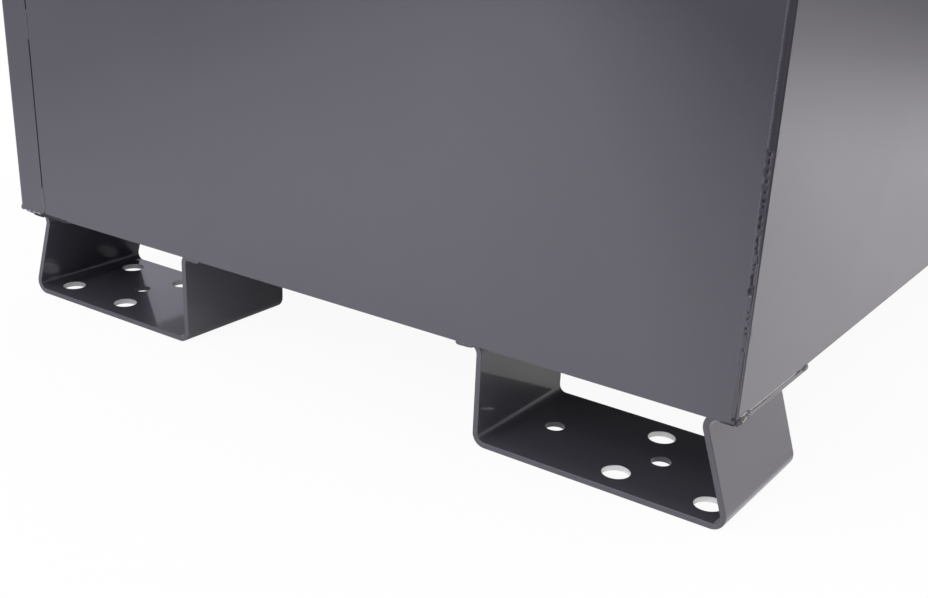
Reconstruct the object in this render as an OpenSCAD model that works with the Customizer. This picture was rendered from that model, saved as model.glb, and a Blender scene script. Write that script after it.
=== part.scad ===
// Jobsite storage box in welded sheet steel, on four bent-plate corner feet with caster holes.
// The frame has X along the length, Y from front to back and Z up from the ground.

/* [Box] */
// Length of the box, from end panel to end panel
box_length = 1219; // [1100:1:1500]
// Depth of the box, from front panel to back panel
box_depth = 762; // [700:1:900]
// Height from the ground to the top of the closed lid
box_height = 870; // [800:1:1000]
// Thickness of the wall, floor and lid sheet
sheet = 2; // [1.5:0.1:3]
// Inner radius of the bends in that sheet
sheet_bend = 2; // [1:0.5:4]
// Width of the back panel's flange that turns round onto each end
corner_flange = 36; // [20:1:60]
// Open joint between that flange and the end panel
seam_gap = 1.5; // [0.5:0.1:3]
// How far the ends hang below the floor, over the edges of the feet
end_drop = 4; // [2:0.5:4.5]

/* [Feet] */
// Height of a foot
foot_height = 88; // [75:1:120]
// Length of a foot along the box
foot_depth = 126; // [115:1:160]
// Width of a foot at the ground, before the corner is bent round
foot_width = 220; // [215:0.5:222]
// Thickness of the foot's plate
foot_plate = 4.8; // [3:0.1:6]
// Inner radius of the foot's bends
foot_bend = 6.5; // [3:0.5:8]
// Lean of the foot's outer wall, in degrees from upright
foot_flare = 19; // [12:1:22]
// Flange that turns from the foot's upright wall towards the middle of the box
foot_flange = 19; // [16:1:30]
// Distance from the front panel to the upright wall of a front foot
front_foot_inset = 214.5; // [212:0.5:230]
// Distance from the back panel to the upright wall of a back foot
back_foot_inset = 229.5; // [212:0.5:240]

/* [Foot holes] */
// Distance between caster bolt holes, both ways
caster_spacing = 76.2; // [60:0.1:80]
// Diameter of the caster bolt holes
caster_hole = 22; // [10:0.5:22]
// Middle of the caster pattern, from the foot's upright wall
caster_centre = 153.5; // [148:0.5:154]
// Diameter of the two anchor holes
anchor_hole = 16; // [8:0.5:17]
// Anchor hole inside the caster pattern, from the upright wall
inner_anchor = 134; // [132:0.5:140]
// Anchor hole beside the upright wall, from that wall
outer_anchor = 38.5; // [32:0.5:60]

/* [Rim rails] */
// Thickness of the rail sheet
rail_sheet = 2.5; // [2:0.1:4]
// Inner radius of the rail's bends
rail_bend = 2.5; // [1:0.5:3]
// Width of the rail's flat top
rail_width = 38; // [36:1:50]
// Height of the leg that is welded to the wall
rail_leg = 40; // [20:1:60]
// Height of the lip that turns down on the inside
rail_lip = 15; // [10:1:20]

/* [Lid] */
// Gap between the lid's skirt and the walls
skirt_gap = 2; // [1:0.1:4]
// Height of the skirt on the front and the ends, with the top sheet
skirt_height = 60; // [50:1:80]
// Height of the two hat sections under the lid
stiffener_height = 25; // [15:1:28]
// Width of a hat section across its flat
stiffener_crown = 40; // [30:1:60]
// Width of a hat section's weld flange
stiffener_flange = 16; // [12:1:25]
// Distance of each hat section from the middle of the lid
stiffener_place = 200; // [150:1:250]
// Gap from a hat section to the front rail
stiffener_front_gap = 6; // [4:1:20]
// Gap from a hat section to the back rail, for its swing
stiffener_back_gap = 14; // [12:1:30]

/* [Hinge] */
// Height of the hinge axis below the rim
hinge_drop = 30; // [24:1:36]
// Radius of the hinge pin
pin_radius = 3; // [2.5:0.1:3.2]
// Running clearance round the pin
pin_clearance = 0.05; // [0.02:0.01:0.1]
// Outer radius of the knuckles
knuckle_radius = 4.8; // [4.6:0.1:5]
// Length of one knuckle with its gap
knuckle_pitch = 76; // [60:1:100]
// Gap between two knuckles
knuckle_gap = 0.6; // [0.4:0.1:1.5]
// Number of knuckles, an odd number
knuckle_count = 15; // [5:2:15]
// Thickness of the hinge leaves
leaf_sheet = 2; // [1.5:0.1:2.5]
// Height of the lower leaf
lower_leaf = 42; // [30:1:46]
// Height of the upper leaf
upper_leaf = 27; // [18:1:28]
// Height of the bar behind the lower leaf
hinge_bar_height = 46; // [44:1:60]

/* [Gas springs] */
// Distance from the hinge axis to both pivots of a gas spring
spring_reach = 320; // [300:1:330]
// Angle of the lower pivot below the hinge axis
spring_foot_angle = 70; // [68:1:72]
// Opening angle of the lid
lid_open = 85; // [60:1:85]
// Height of the upper pivot below the lid sheet
spring_drop = 25; // [20:1:28]
// Distance from the outside of an end panel to the middle of its spring
spring_inset = 56; // [55:1:70]
// Outer radius of the spring's tube
tube_radius = 11; // [9:0.5:11]
// Wall of the tube
tube_wall = 1.2; // [1:0.1:2]
// Radius of the piston rod
rod_radius = 5; // [4:0.5:5]
// Outer radius of the eyes
eye_radius = 9; // [8:0.5:9]
// Width of the eyes
eye_width = 12; // [10:0.5:12]
// Radius of the studs that the eyes turn on
stud_radius = 4; // [3:0.5:4.5]

/* [Lock pockets] */
// Distance from each end of the box to the middle of its pocket
pocket_inset = 229.5; // [190:0.5:300]
// Width of the pocket's opening
pocket_width = 116; // [90:1:130]
// Height of the pocket's opening
pocket_height = 128; // [110:1:140]
// Depth of the pocket behind the front panel
pocket_depth = 58; // [50:1:80]
// Distance from the rim down to the pocket's opening
pocket_drop = 92; // [80:1:110]
// Thickness of the lock plate and of the lid's tongue
lock_plate = 6; // [4:0.5:8]
// Width of the lock plate and of the tongue
tongue_width = 50; // [40:1:70]
// Distance from the rim down to the tip of the tongue
tongue_length = 140; // [125:1:150]
// Distance from the front panel to the tongue
tongue_place = 17; // [15:0.5:18]
// Diameter of the padlock holes
padlock_hole = 14; // [10:0.5:16]
// Height of the padlock holes above the tongue's tip
padlock_lift = 17; // [14:0.5:25]

/* [Carrying handles] */
// Radius of the handle rod
bail_radius = 6; // [4:0.5:6]
// Width of the handle between the middles of its legs
bail_width = 160; // [120:1:200]
// Length of the handle's legs
bail_drop = 80; // [60:1:100]
// Radius of the handle's bends, to the middle of the rod
bail_bend = 16; // [12:1:20]
// Height of the handle's pivot above the ground
bail_height = 640; // [500:1:700]
// Distance of the pivot from the end panel
bail_reach = 14; // [14:0.5:18]
// Running clearance round the pivot
bail_clearance = 0.08; // [0.02:0.01:0.1]
// Thickness of the handle's ears
ear_sheet = 5; // [4:0.5:6]
// Height of the ears
ear_height = 36; // [30:1:50]
// Foot of an ear that lies on the end panel
ear_foot = 32; // [28:1:50]

/* [Hidden] */

// Smoothness of the round parts, and straight steps in one bend of a sheet
$fn = 48;
bend_steps = 8;
// Overrun of every cut past the face that it opens
cut = 1;

// Coating and metal colours
coat_grey = [0.42, 0.42, 0.45];
zinc_grey = [0.66, 0.67, 0.68];
spring_black = [0.09, 0.09, 0.1];
chrome_grey = [0.8, 0.81, 0.83];

// Levels of the rim, the walls and the lid
rim = box_height - sheet;
wall_height = rim - foot_height;
half_length = box_length / 2;
half_depth = box_depth / 2;
skirt_bottom = box_height - skirt_height;
end_bottom = foot_height - end_drop;
pocket_place = half_length - pocket_inset;

// Hinge axis: the leaves lie on the outside of the back skirt
skirt_outside = half_depth + skirt_gap + sheet;
knuckle_offset = 0.2;
hinge_y = skirt_outside + knuckle_radius + knuckle_offset;
hinge_z = rim - hinge_drop;
hinge_length = knuckle_count * knuckle_pitch;
hinge_relief = 1;
leaf_stop = knuckle_radius + hinge_relief;
skirt_lift = 2;
// The lip that lifts the lid stands out as far as the hinge does behind
lid_lip = 2 * knuckle_radius + knuckle_offset;

// Both spring pivots are equally far from the hinge, so the spring turns at half the lid's rate
upper_pivot_z = rim - spring_drop;
upper_pivot_y = hinge_y - sqrt(pow(spring_reach, 2) - pow(upper_pivot_z - hinge_z, 2));
lower_pivot_y = hinge_y - spring_reach * cos(spring_foot_angle);
lower_pivot_z = hinge_z - spring_reach * sin(spring_foot_angle);
spring_angle = atan2(upper_pivot_z - lower_pivot_z, lower_pivot_y - upper_pivot_y);
reach_angle = spring_foot_angle + asin((upper_pivot_z - hinge_z) / spring_reach);
spring_closed = 2 * spring_reach * sin(reach_angle / 2);
spring_opened = 2 * spring_reach * sin((reach_angle + lid_open) / 2);
spring_stroke = spring_opened - spring_closed;
spring_x = half_length - spring_inset;

// Inside of a gas spring, measured from its lower pivot
tube_start = 22;
tube_base = 3;
guide_length = 8;
guide_clearance = 0.4;
piston_length = 15;
piston_clearance = 0.4;
piston_spare = 5;
neck_radius = 6;
stud_clearance = 0.05;
piston_start = tube_start + tube_base + piston_spare;
tube_end = piston_start + spring_stroke + piston_length + piston_spare + guide_length;

// Brackets that hold the studs
bracket_sheet = 3;
bracket_bend = 3;
bracket_width = 36;
bracket_foot = 40;
bracket_gap = 1;
bracket_past = 10;
bracket_below = 30;
retainer_radius = 7;
retainer_width = 2;
stud_play = 0.3;

// Slots that the tongues pass through: wide to the front, because the tip swings that way
slot_front = 10;
slot_back = 1.5;
slot_side = 6;

// Ends of the handle and its ears
ear_gap = 1;
stub_end = 6;
washer_radius = 8;
washer_width = 2;
ear_past = 10;
ear_bend = 3;

// Direction in degrees from one point to the next
function heading(a, b) = atan2(b[1] - a[1], b[0] - a[0]);

// Turn at a point of a path, from -180 to 180 degrees
function turn_at(path, i) =
    let (turn = heading(path[i], path[i + 1]) - heading(path[i - 1], path[i]))
    turn > 180 ? turn - 360 : turn < -180 ? turn + 360 : turn;

// Arc of one bend, on the side of the sheet that lies shift to the left of its middle
function bend_arc(path, i, radius, shift) =
    let (
        along = heading(path[i - 1], path[i]),
        turn = turn_at(path, i),
        side = sign(turn),
        start = path[i] - radius * tan(abs(turn) / 2) * [cos(along), sin(along)],
        centre = start + side * radius * [-sin(along), cos(along)]
    )
    [
        for (k = [0 : bend_steps])
            let (angle = along - side * 90 + turn * k / bend_steps)
            centre + (radius - side * shift) * [cos(angle), sin(angle)]
    ];

// One side of a folded sheet, from the first point of its middle line to the last
function sheet_side(path, radius, shift) =
    let (
        last = len(path) - 1,
        first_way = heading(path[0], path[1]),
        last_way = heading(path[last - 1], path[last])
    )
    concat(
        [path[0] + shift * [-sin(first_way), cos(first_way)]],
        [for (i = [1 : last - 1]) each bend_arc(path, i, radius, shift)],
        [path[last] + shift * [-sin(last_way), cos(last_way)]]
    );

function reversed(list) = [for (i = [len(list) - 1 : -1 : 0]) list[i]];

// Outline of a sheet of the given thickness, folded along a middle line
function folded(path, thickness, inner_radius) =
    let (radius = inner_radius + thickness / 2)
    concat(
        sheet_side(path, radius, thickness / 2),
        reversed(sheet_side(path, radius, -thickness / 2))
    );

// Turns an outline drawn in Y and Z, and its extrusion along X, into place
module along_x() {
    rotate([90, 0, 90])
        children();
}

// Turns an outline drawn in X and Z, and its extrusion towards the front, into place
module along_y() {
    rotate([90, 0, 0])
        children();
}

// The right-hand piece is the left-hand piece mirrored
module right_hand() {
    mirror([1, 0, 0])
        children();
}

// Clear space behind the opening of a lock pocket
module pocket_space(depth) {
    translate([-pocket_width / 2, 0, rim - pocket_drop - pocket_height])
        cube([pocket_width, depth, pocket_height]);
}

// Flat front with the openings of the two lock pockets
module front_panel() {
    color(coat_grey)
        difference() {
            translate([-half_length, -half_depth, foot_height])
                cube([box_length, sheet, wall_height]);
            for (side = [-1, 1])
                translate([side * pocket_place, -half_depth - cut, 0])
                    pocket_space(sheet + 2 * cut);
        }
}

// Flat back with a flange folded round onto each end, where it hangs as low as the end panels
module back_panel() {
    side_x = half_length - sheet / 2;
    back_y = half_depth - sheet / 2;
    flange_y = half_depth - corner_flange;
    path = [[-side_x, flange_y], [-side_x, back_y], [side_x, back_y], [side_x, flange_y]];
    color(coat_grey)
        difference() {
            translate([0, 0, end_bottom])
                linear_extrude(rim - end_bottom)
                    polygon(folded(path, sheet, sheet_bend));
            translate([sheet - half_length, flange_y - cut, end_bottom - cut])
                cube([box_length - 2 * sheet, corner_flange + 2 * cut, end_drop + cut]);
        }
}

// Flat end between the front panel and the flange of the back panel
module left_end_panel() {
    color(coat_grey)
        translate([-half_length, -half_depth + sheet, end_bottom])
            cube([sheet, box_depth - sheet - corner_flange - seam_gap, rim - end_bottom]);
}

module right_end_panel() {
    right_hand()
        left_end_panel();
}

// The back corners are clipped to clear the bends of the back panel
module floor_panel() {
    x = half_length - sheet;
    y = half_depth - sheet;
    outline = [
        [-x, -y], [x, -y], [x, y - sheet_bend], [x - sheet_bend, y],
        [sheet_bend - x, y], [-x, y - sheet_bend]
    ];
    color(coat_grey)
        translate([0, 0, foot_height])
            linear_extrude(sheet)
                polygon(outline);
}

// Section of a rim rail: the leg against the wall, the flat top and the lip
function rail_path() =
    let (near = rail_sheet / 2, far = rail_width - rail_sheet / 2, top = rim - rail_sheet / 2)
    [[near, rim - rail_leg], [near, top], [far, top], [far, rim - rail_lip]];

// Rail along the front or the back, drawn in place at the front
module long_rail() {
    length = box_length - 2 * sheet - 2 * sheet_bend;
    translate([-length / 2, sheet - half_depth, 0])
        along_x()
            linear_extrude(length)
                polygon(folded(rail_path(), rail_sheet, rail_bend));
}

// The slots let the lid's tongues down into the lock pockets
module front_rail() {
    color(coat_grey)
        difference() {
            long_rail();
            for (side = [-1, 1])
                translate([side * pocket_place, 0, rim - rail_sheet - cut])
                    tongue_slot(rail_sheet + 2 * cut);
        }
}

module back_rail() {
    color(coat_grey)
        mirror([0, 1, 0])
            long_rail();
}

// The end rails run between the front and back rails
module left_rail() {
    length = box_depth - 2 * sheet - 2 * rail_width;
    color(coat_grey)
        translate([sheet - half_length, length / 2, 0])
            along_y()
                linear_extrude(length)
                    polygon(folded(rail_path(), rail_sheet, rail_bend));
}

module right_rail() {
    right_hand()
        left_rail();
}

// Outer face of the flared wall at a height above the ground, from the upright wall
function flare_at(z) = foot_width - z * tan(foot_flare);

// Middle line of the bent plate: inner flange, upright wall, sole, flared wall, outer flange
function foot_path(inset) =
    let (
        half = foot_plate / 2,
        top = foot_height - half,
        lean = half / cos(foot_flare)
    )
    [
        [-foot_flange, top], [half, top], [half, half],
        [flare_at(half) - lean, half], [flare_at(top) - lean, top], [inset, top]
    ];

// Four caster holes and two anchor holes in the sole
module foot_holes() {
    for (i = [-1, 1], j = [-1, 1])
        translate([foot_depth / 2 + i * caster_spacing / 2, caster_centre + j * caster_spacing / 2, -cut])
            cylinder(d = caster_hole, h = foot_plate + 2 * cut);
    for (y = [inner_anchor, outer_anchor])
        translate([foot_depth / 2, y, -cut])
            cylinder(d = anchor_hole, h = foot_plate + 2 * cut);
}

// A foot seen from its own upright wall, which stands in the plane Y = 0
module foot(inset) {
    color(coat_grey)
        difference() {
            along_x()
                linear_extrude(foot_depth)
                    polygon(folded(foot_path(inset), foot_plate, foot_bend));
            foot_holes();
        }
}

// The feet start behind the end panels, which hide the ends of their flanges
module foot_back_left() {
    translate([sheet - half_length, half_depth - back_foot_inset, 0])
        foot(back_foot_inset);
}

module foot_front_left() {
    translate([sheet - half_length, front_foot_inset - half_depth, 0])
        mirror([0, 1, 0])
            foot(front_foot_inset);
}

module foot_back_right() {
    right_hand()
        foot_back_left();
}

module foot_front_right() {
    right_hand()
        foot_front_left();
}

// Slot round a tongue, longer towards the front, from the level it is placed at
module tongue_slot(height) {
    front = -half_depth + sheet + tongue_place;
    width = tongue_width + 2 * slot_side;
    translate([-width / 2, front - slot_front, 0])
        cube([width, slot_front + lock_plate + slot_back, height]);
}

// Five-walled box behind the front panel that hides a padlock
module lock_pocket(side) {
    low = rim - pocket_drop - pocket_height;
    color(coat_grey)
        translate([side * pocket_place, 0, 0])
            difference() {
                translate([-pocket_width / 2 - sheet, sheet - half_depth, low - sheet])
                    cube([pocket_width + 2 * sheet, pocket_depth + sheet, pocket_height + 2 * sheet]);
                translate([0, sheet - half_depth - cut, 0])
                    pocket_space(pocket_depth + cut);
                translate([0, 0, rim - pocket_drop - cut])
                    tongue_slot(sheet + 2 * cut);
            }
}

module lock_pocket_left() {
    lock_pocket(-1);
}

module lock_pocket_right() {
    lock_pocket(1);
}

// Plate with a padlock hole, hung from a level down to the tongue's tip
module holed_plate(y, top) {
    tip = rim - tongue_length;
    difference() {
        translate([-tongue_width / 2, y, tip])
            cube([tongue_width, lock_plate, top - tip]);
        translate([0, y + lock_plate + cut, tip + padlock_lift])
            along_y()
                cylinder(d = padlock_hole, h = lock_plate + 2 * cut);
    }
}

// Fixed plate under the top of the pocket, just behind the tongue
module fixed_lock_plate(side) {
    y = -half_depth + sheet + tongue_place + lock_plate + slot_back;
    color(coat_grey)
        translate([side * pocket_place, 0, 0])
            holed_plate(y, rim - pocket_drop);
}

module lock_plate_left() {
    fixed_lock_plate(-1);
}

module lock_plate_right() {
    fixed_lock_plate(1);
}

// Tongue welded under the lid, which comes down in front of the fixed plate
module lock_tongue(side) {
    color(coat_grey)
        translate([side * pocket_place, 0, 0])
            holed_plate(-half_depth + sheet + tongue_place, rim);
}

module lock_tongue_left() {
    lock_tongue(-1);
}

module lock_tongue_right() {
    lock_tongue(1);
}

// One ear: a foot on the end panel and a leg that stands out from it, at one side of the handle
module handle_ear(side) {
    inner = bail_width / 2 + bail_radius + ear_gap;
    reach = bail_reach + ear_past;
    path = [
        [-ear_sheet / 2, inner + ear_sheet + ear_foot],
        [-ear_sheet / 2, inner + ear_sheet / 2],
        [-reach, inner + ear_sheet / 2]
    ];
    translate([-half_length, 0, bail_height])
        difference() {
            translate([0, 0, -ear_height / 2])
                linear_extrude(ear_height)
                    polygon([for (p = folded(path, ear_sheet, ear_bend)) [p[0], side * p[1]]]);
            translate([-bail_reach, side * (inner + ear_sheet / 2), 0])
                along_y()
                    cylinder(r = bail_radius + bail_clearance, h = ear_sheet + 2 * cut, center = true);
        }
}

// Both ears of one handle
module handle_ears_left() {
    color(coat_grey)
        for (side = [-1, 1])
            handle_ear(side);
}

module handle_ears_right() {
    right_hand()
        handle_ears_left();
}

// Half of the handle: half the grip, a bend, a leg, a bend and the stub in its ear
module half_bail() {
    leg_y = bail_width / 2;
    stub_start = bail_radius + ear_gap;
    translate([0, leg_y - bail_bend, -bail_drop])
        along_y()
            cylinder(r = bail_radius, h = leg_y - bail_bend);
    translate([0, leg_y - bail_bend, bail_bend - bail_drop])
        rotate([0, 90, 0])
            rotate_extrude(angle = 90)
                translate([bail_bend, 0])
                    circle(r = bail_radius);
    translate([0, leg_y, bail_bend - bail_drop])
        cylinder(r = bail_radius, h = bail_drop - bail_bend);
    translate([0, leg_y, 0])
        sphere(r = bail_radius);
    translate([0, leg_y + stub_start + ear_sheet + stub_end, 0])
        along_y()
            cylinder(r = bail_radius, h = stub_start + ear_sheet + stub_end);
    translate([0, leg_y + stub_start + ear_sheet + ear_gap + washer_width, 0])
        along_y()
            cylinder(r = washer_radius, h = washer_width);
}

// Bent rod that swings out from the end panel
module handle_left() {
    color(zinc_grey)
        translate([-half_length - bail_reach, 0, bail_height]) {
            half_bail();
            mirror([0, 1, 0])
                half_bail();
        }
}

module handle_right() {
    right_hand()
        handle_left();
}

// Flat bar that brings the lower leaf out to the plane of the lid's skirt
module hinge_bar() {
    color(coat_grey)
        translate([-hinge_length / 2, half_depth, hinge_z - skirt_lift - hinge_bar_height])
            cube([hinge_length, skirt_gap + sheet, hinge_bar_height]);
}

// Leaf of the hinge with every second knuckle, drawn downwards from the axis
module hinge_leaf(height, first) {
    start = -hinge_length / 2;
    difference() {
        union() {
            translate([start, skirt_outside, -height])
                cube([hinge_length, leaf_sheet, height - leaf_stop]);
            for (k = [first : 2 : knuckle_count - 1])
                translate([start + k * knuckle_pitch + knuckle_gap / 2, 0, 0]) {
                    translate([0, skirt_outside, -leaf_stop - sheet])
                        cube([knuckle_pitch - knuckle_gap, leaf_sheet, leaf_stop + sheet]);
                    translate([0, hinge_y, 0])
                        rotate([0, 90, 0])
                            cylinder(r = knuckle_radius, h = knuckle_pitch - knuckle_gap);
                }
        }
        translate([start - cut, hinge_y, 0])
            rotate([0, 90, 0])
                cylinder(r = pin_radius + pin_clearance, h = hinge_length + 2 * cut);
    }
}

// The lower leaf carries the end knuckles
module hinge_lower_leaf() {
    color(coat_grey)
        translate([0, 0, hinge_z])
            hinge_leaf(lower_leaf, 0);
}

// The upper leaf is turned up against the lid's back skirt
module hinge_upper_leaf() {
    color(coat_grey)
        translate([0, 0, hinge_z])
            mirror([0, 0, 1])
                hinge_leaf(upper_leaf, 1);
}

// One pin through all the knuckles
module hinge_pin() {
    color(zinc_grey)
        translate([-hinge_length / 2, hinge_y, hinge_z])
            rotate([0, 90, 0])
                cylinder(r = pin_radius, h = hinge_length);
}

// Middle line of the lid sheet: front skirt, top and the shorter back skirt
function skirt_path() =
    let (y = skirt_outside - sheet / 2, top = box_height - sheet / 2)
    [[-y, skirt_bottom], [-y, top], [y, top], [y, hinge_z + skirt_lift]];

// The same with the foot of the front skirt turned out into a lip
function lid_path() =
    let (line = skirt_path(), low = skirt_bottom + sheet / 2)
    concat([[-skirt_outside - lid_lip, low], [line[0][0], low]], [for (i = [1 : len(line) - 1]) line[i]]);

// Folded lid sheet, open at both ends
module lid_panel() {
    half = half_length + skirt_gap;
    color(coat_grey)
        translate([-half, 0, 0])
            along_x()
                linear_extrude(2 * half)
                    polygon(folded(lid_path(), sheet, sheet_bend));
}

// End plate with the outline of the folded lid sheet, closed along its lower edge
module lid_left_cap() {
    outside = sheet_side(skirt_path(), sheet_bend + sheet / 2, sheet / 2);
    color(coat_grey)
        translate([-half_length - skirt_gap - sheet, 0, 0])
            along_x()
                linear_extrude(sheet)
                    polygon(concat(outside, [[skirt_outside, skirt_bottom]]));
}

module lid_right_cap() {
    right_hand()
        lid_left_cap();
}

// Hat section with its flanges welded to the underside of the lid
module lid_stiffener(side) {
    half = stiffener_crown / 2;
    outer = half + stiffener_flange;
    top = rim - sheet / 2;
    low = rim - stiffener_height + sheet / 2;
    front = -half_depth + sheet + rail_width + stiffener_front_gap;
    back = half_depth - sheet - rail_width - stiffener_back_gap;
    path = [[-outer, top], [-half, top], [-half, low], [half, low], [half, top], [outer, top]];
    color(coat_grey)
        translate([side * stiffener_place, back, 0])
            along_y()
                linear_extrude(back - front)
                    polygon(folded(path, sheet, sheet_bend));
}

module lid_stiffener_left() {
    lid_stiffener(-1);
}

module lid_stiffener_right() {
    lid_stiffener(1);
}

// Stud along X that starts at a bracket's leg, with its retaining washer
module spring_stud() {
    leg = spring_x + eye_width / 2 + bracket_gap;
    washer = spring_x - eye_width / 2 - stud_play;
    translate([-leg - bracket_sheet / 2, 0, 0])
        rotate([0, 90, 0])
            cylinder(r = stud_radius, h = leg + bracket_sheet / 2 - washer + retainer_width);
    translate([-washer, 0, 0])
        rotate([0, 90, 0])
            cylinder(r = retainer_radius, h = retainer_width);
}

// Middle of a bracket's leg, measured outwards from the middle of the box
function leg_place() = spring_x + eye_width / 2 + bracket_gap + bracket_sheet / 2;

// Folded bracket: foot on the end panel, shelf, and a leg that carries the lower stud
module spring_lower_bracket_left() {
    wall = half_length - sheet - bracket_sheet / 2;
    shelf = -bracket_below;
    path = [
        [-wall, shelf - bracket_foot], [-wall, shelf],
        [-leg_place(), shelf], [-leg_place(), bracket_past]
    ];
    color(zinc_grey)
        translate([0, lower_pivot_y, lower_pivot_z]) {
            translate([0, bracket_width / 2, 0])
                along_y()
                    linear_extrude(bracket_width)
                        polygon(folded(path, bracket_sheet, bracket_bend));
            spring_stud();
        }
}

module spring_lower_bracket_right() {
    right_hand()
        spring_lower_bracket_left();
}

// Angle under the lid whose leg carries the upper stud
module spring_upper_bracket_left() {
    top = spring_drop - bracket_sheet / 2;
    path = [
        [bracket_foot - leg_place(), top],
        [-leg_place(), top],
        [-leg_place(), -bracket_past]
    ];
    color(zinc_grey)
        translate([0, upper_pivot_y, upper_pivot_z]) {
            translate([0, bracket_width / 2, 0])
                along_y()
                    linear_extrude(bracket_width)
                        polygon(folded(path, bracket_sheet, bracket_bend));
            spring_stud();
        }
}

module spring_upper_bracket_right() {
    right_hand()
        spring_upper_bracket_left();
}

// Points a closed gas spring from its lower pivot to its upper one, along its own Z
module on_spring(side) {
    translate([side * spring_x, lower_pivot_y, lower_pivot_z])
        rotate([90 - spring_angle, 0, 0])
            children();
}

// Eye at one end of the spring, drawn solid, with its bore cut afterwards
module spring_eye(z) {
    translate([-eye_width / 2, 0, z])
        rotate([0, 90, 0])
            cylinder(r = eye_radius, h = eye_width);
}

module spring_eye_bore(z) {
    translate([-eye_width / 2 - cut, 0, z])
        rotate([0, 90, 0])
            cylinder(r = stud_radius + stud_clearance, h = eye_width + 2 * cut);
}

// Pressure tube with the lower eye, and the guide that the rod slides in
module spring_tube(side) {
    color(spring_black)
        on_spring(side)
            difference() {
                union() {
                    spring_eye(0);
                    cylinder(r = neck_radius, h = tube_start + tube_base);
                    translate([0, 0, tube_start])
                        cylinder(r = tube_radius, h = tube_end - tube_start);
                }
                spring_eye_bore(0);
                translate([0, 0, tube_start + tube_base])
                    cylinder(r = tube_radius - tube_wall, h = tube_end - guide_length - tube_start - tube_base);
                translate([0, 0, tube_end - guide_length - cut])
                    cylinder(r = rod_radius + guide_clearance, h = guide_length + 2 * cut);
            }
}

module spring_tube_left() {
    spring_tube(-1);
}

module spring_tube_right() {
    spring_tube(1);
}

// Piston, rod and upper eye
module spring_rod(side) {
    color(chrome_grey)
        on_spring(side)
            difference() {
                union() {
                    spring_eye(spring_closed);
                    translate([0, 0, piston_start])
                        cylinder(r = rod_radius, h = spring_closed - piston_start);
                    translate([0, 0, piston_start])
                        cylinder(r = tube_radius - tube_wall - piston_clearance, h = piston_length);
                }
                spring_eye_bore(spring_closed);
            }
}

module spring_rod_left() {
    spring_rod(-1);
}

module spring_rod_right() {
    spring_rod(1);
}

front_panel();
back_panel();
left_end_panel();
right_end_panel();
floor_panel();
front_rail();
back_rail();
left_rail();
right_rail();
foot_front_left();
foot_front_right();
foot_back_left();
foot_back_right();
lock_pocket_left();
lock_pocket_right();
lock_plate_left();
lock_plate_right();
handle_ears_left();
handle_ears_right();
handle_left();
handle_right();
hinge_bar();
hinge_lower_leaf();
hinge_pin();
hinge_upper_leaf();
lid_panel();
lid_left_cap();
lid_right_cap();
lid_stiffener_left();
lid_stiffener_right();
lock_tongue_left();
lock_tongue_right();
spring_lower_bracket_left();
spring_lower_bracket_right();
spring_upper_bracket_left();
spring_upper_bracket_right();
spring_tube_left();
spring_tube_right();
spring_rod_left();
spring_rod_right();
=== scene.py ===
import math
import random

import bmesh
import bpy
from mathutils import Matrix, Vector, noise


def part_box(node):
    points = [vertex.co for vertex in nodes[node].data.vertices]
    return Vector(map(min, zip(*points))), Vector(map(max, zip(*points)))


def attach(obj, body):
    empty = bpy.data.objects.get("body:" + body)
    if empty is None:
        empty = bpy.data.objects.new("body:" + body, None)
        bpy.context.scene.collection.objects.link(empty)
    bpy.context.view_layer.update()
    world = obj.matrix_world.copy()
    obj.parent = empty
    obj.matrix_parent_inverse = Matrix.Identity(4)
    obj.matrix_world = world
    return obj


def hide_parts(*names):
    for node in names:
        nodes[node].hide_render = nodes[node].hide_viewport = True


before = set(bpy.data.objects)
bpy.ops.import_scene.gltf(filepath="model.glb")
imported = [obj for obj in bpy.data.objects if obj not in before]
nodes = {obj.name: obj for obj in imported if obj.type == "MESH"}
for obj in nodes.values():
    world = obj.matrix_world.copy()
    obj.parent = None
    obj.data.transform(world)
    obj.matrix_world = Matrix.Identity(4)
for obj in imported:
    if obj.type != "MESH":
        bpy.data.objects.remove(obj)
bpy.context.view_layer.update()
MM = 0.001

# Camera
# It stands left of the front left corner, at half the height of the box, and looks down at the feet.
# The lens sits a little above the middle of the sensor, which keeps the upright corner nearly upright.
camera_place = Vector((-1.3374, -0.651, 0.4416))
camera_heading, camera_tilt, camera_roll = -55.84, 66.89, 2.66
focal_px, centre_row_px, frame_width_px, frame_height_px = 1240, 365, 928, 598

lens = bpy.data.cameras.new("camera")
lens.sensor_width = 36
lens.lens = focal_px / frame_width_px * lens.sensor_width
lens.shift_y = (centre_row_px - frame_height_px / 2) / frame_width_px
lens.clip_start, lens.clip_end = 0.01, 50
camera = bpy.data.objects.new("camera", lens)
turn = [Matrix.Rotation(math.radians(a), 4, axis)
        for a, axis in ((camera_heading, "Z"), (camera_tilt, "X"), (camera_roll, "Z"))]
camera.matrix_world = Matrix.Translation(camera_place) @ turn[0] @ turn[1] @ turn[2]
bpy.context.scene.collection.objects.link(camera)
bpy.context.scene.camera = camera
bpy.context.scene.view_settings.view_transform = "Standard"

# Floor panel
# A flat sheet of mild steel inside the walls, stitch-welded round its edge and powder-coated with the rest.
# The coat is a semi-gloss grey polyester, sprayed dry and melted in an oven.
floor_low, floor_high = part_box("floor_panel")
foot_height = floor_low.z


def linear(code):
    """Linear RGBA of an sRGB hex code"""
    parts = [int(code[i:i + 2], 16) / 255 for i in (1, 3, 5)]
    return [p / 12.92 if p <= 0.04045 else ((p + 0.055) / 1.055) ** 2.4 for p in parts] + [1]


def add(tree, kind, inputs, **settings):
    """Adds a node with its settings; an input is a value or the output that feeds it"""
    node = tree.nodes.new(kind)
    for name, value in settings.items():
        setattr(node, name, value)
    for name, value in inputs.items():
        if isinstance(value, bpy.types.NodeSocket):
            tree.links.new(value, node.inputs[name])
        else:
            node.inputs[name].default_value = value
    return node


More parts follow.
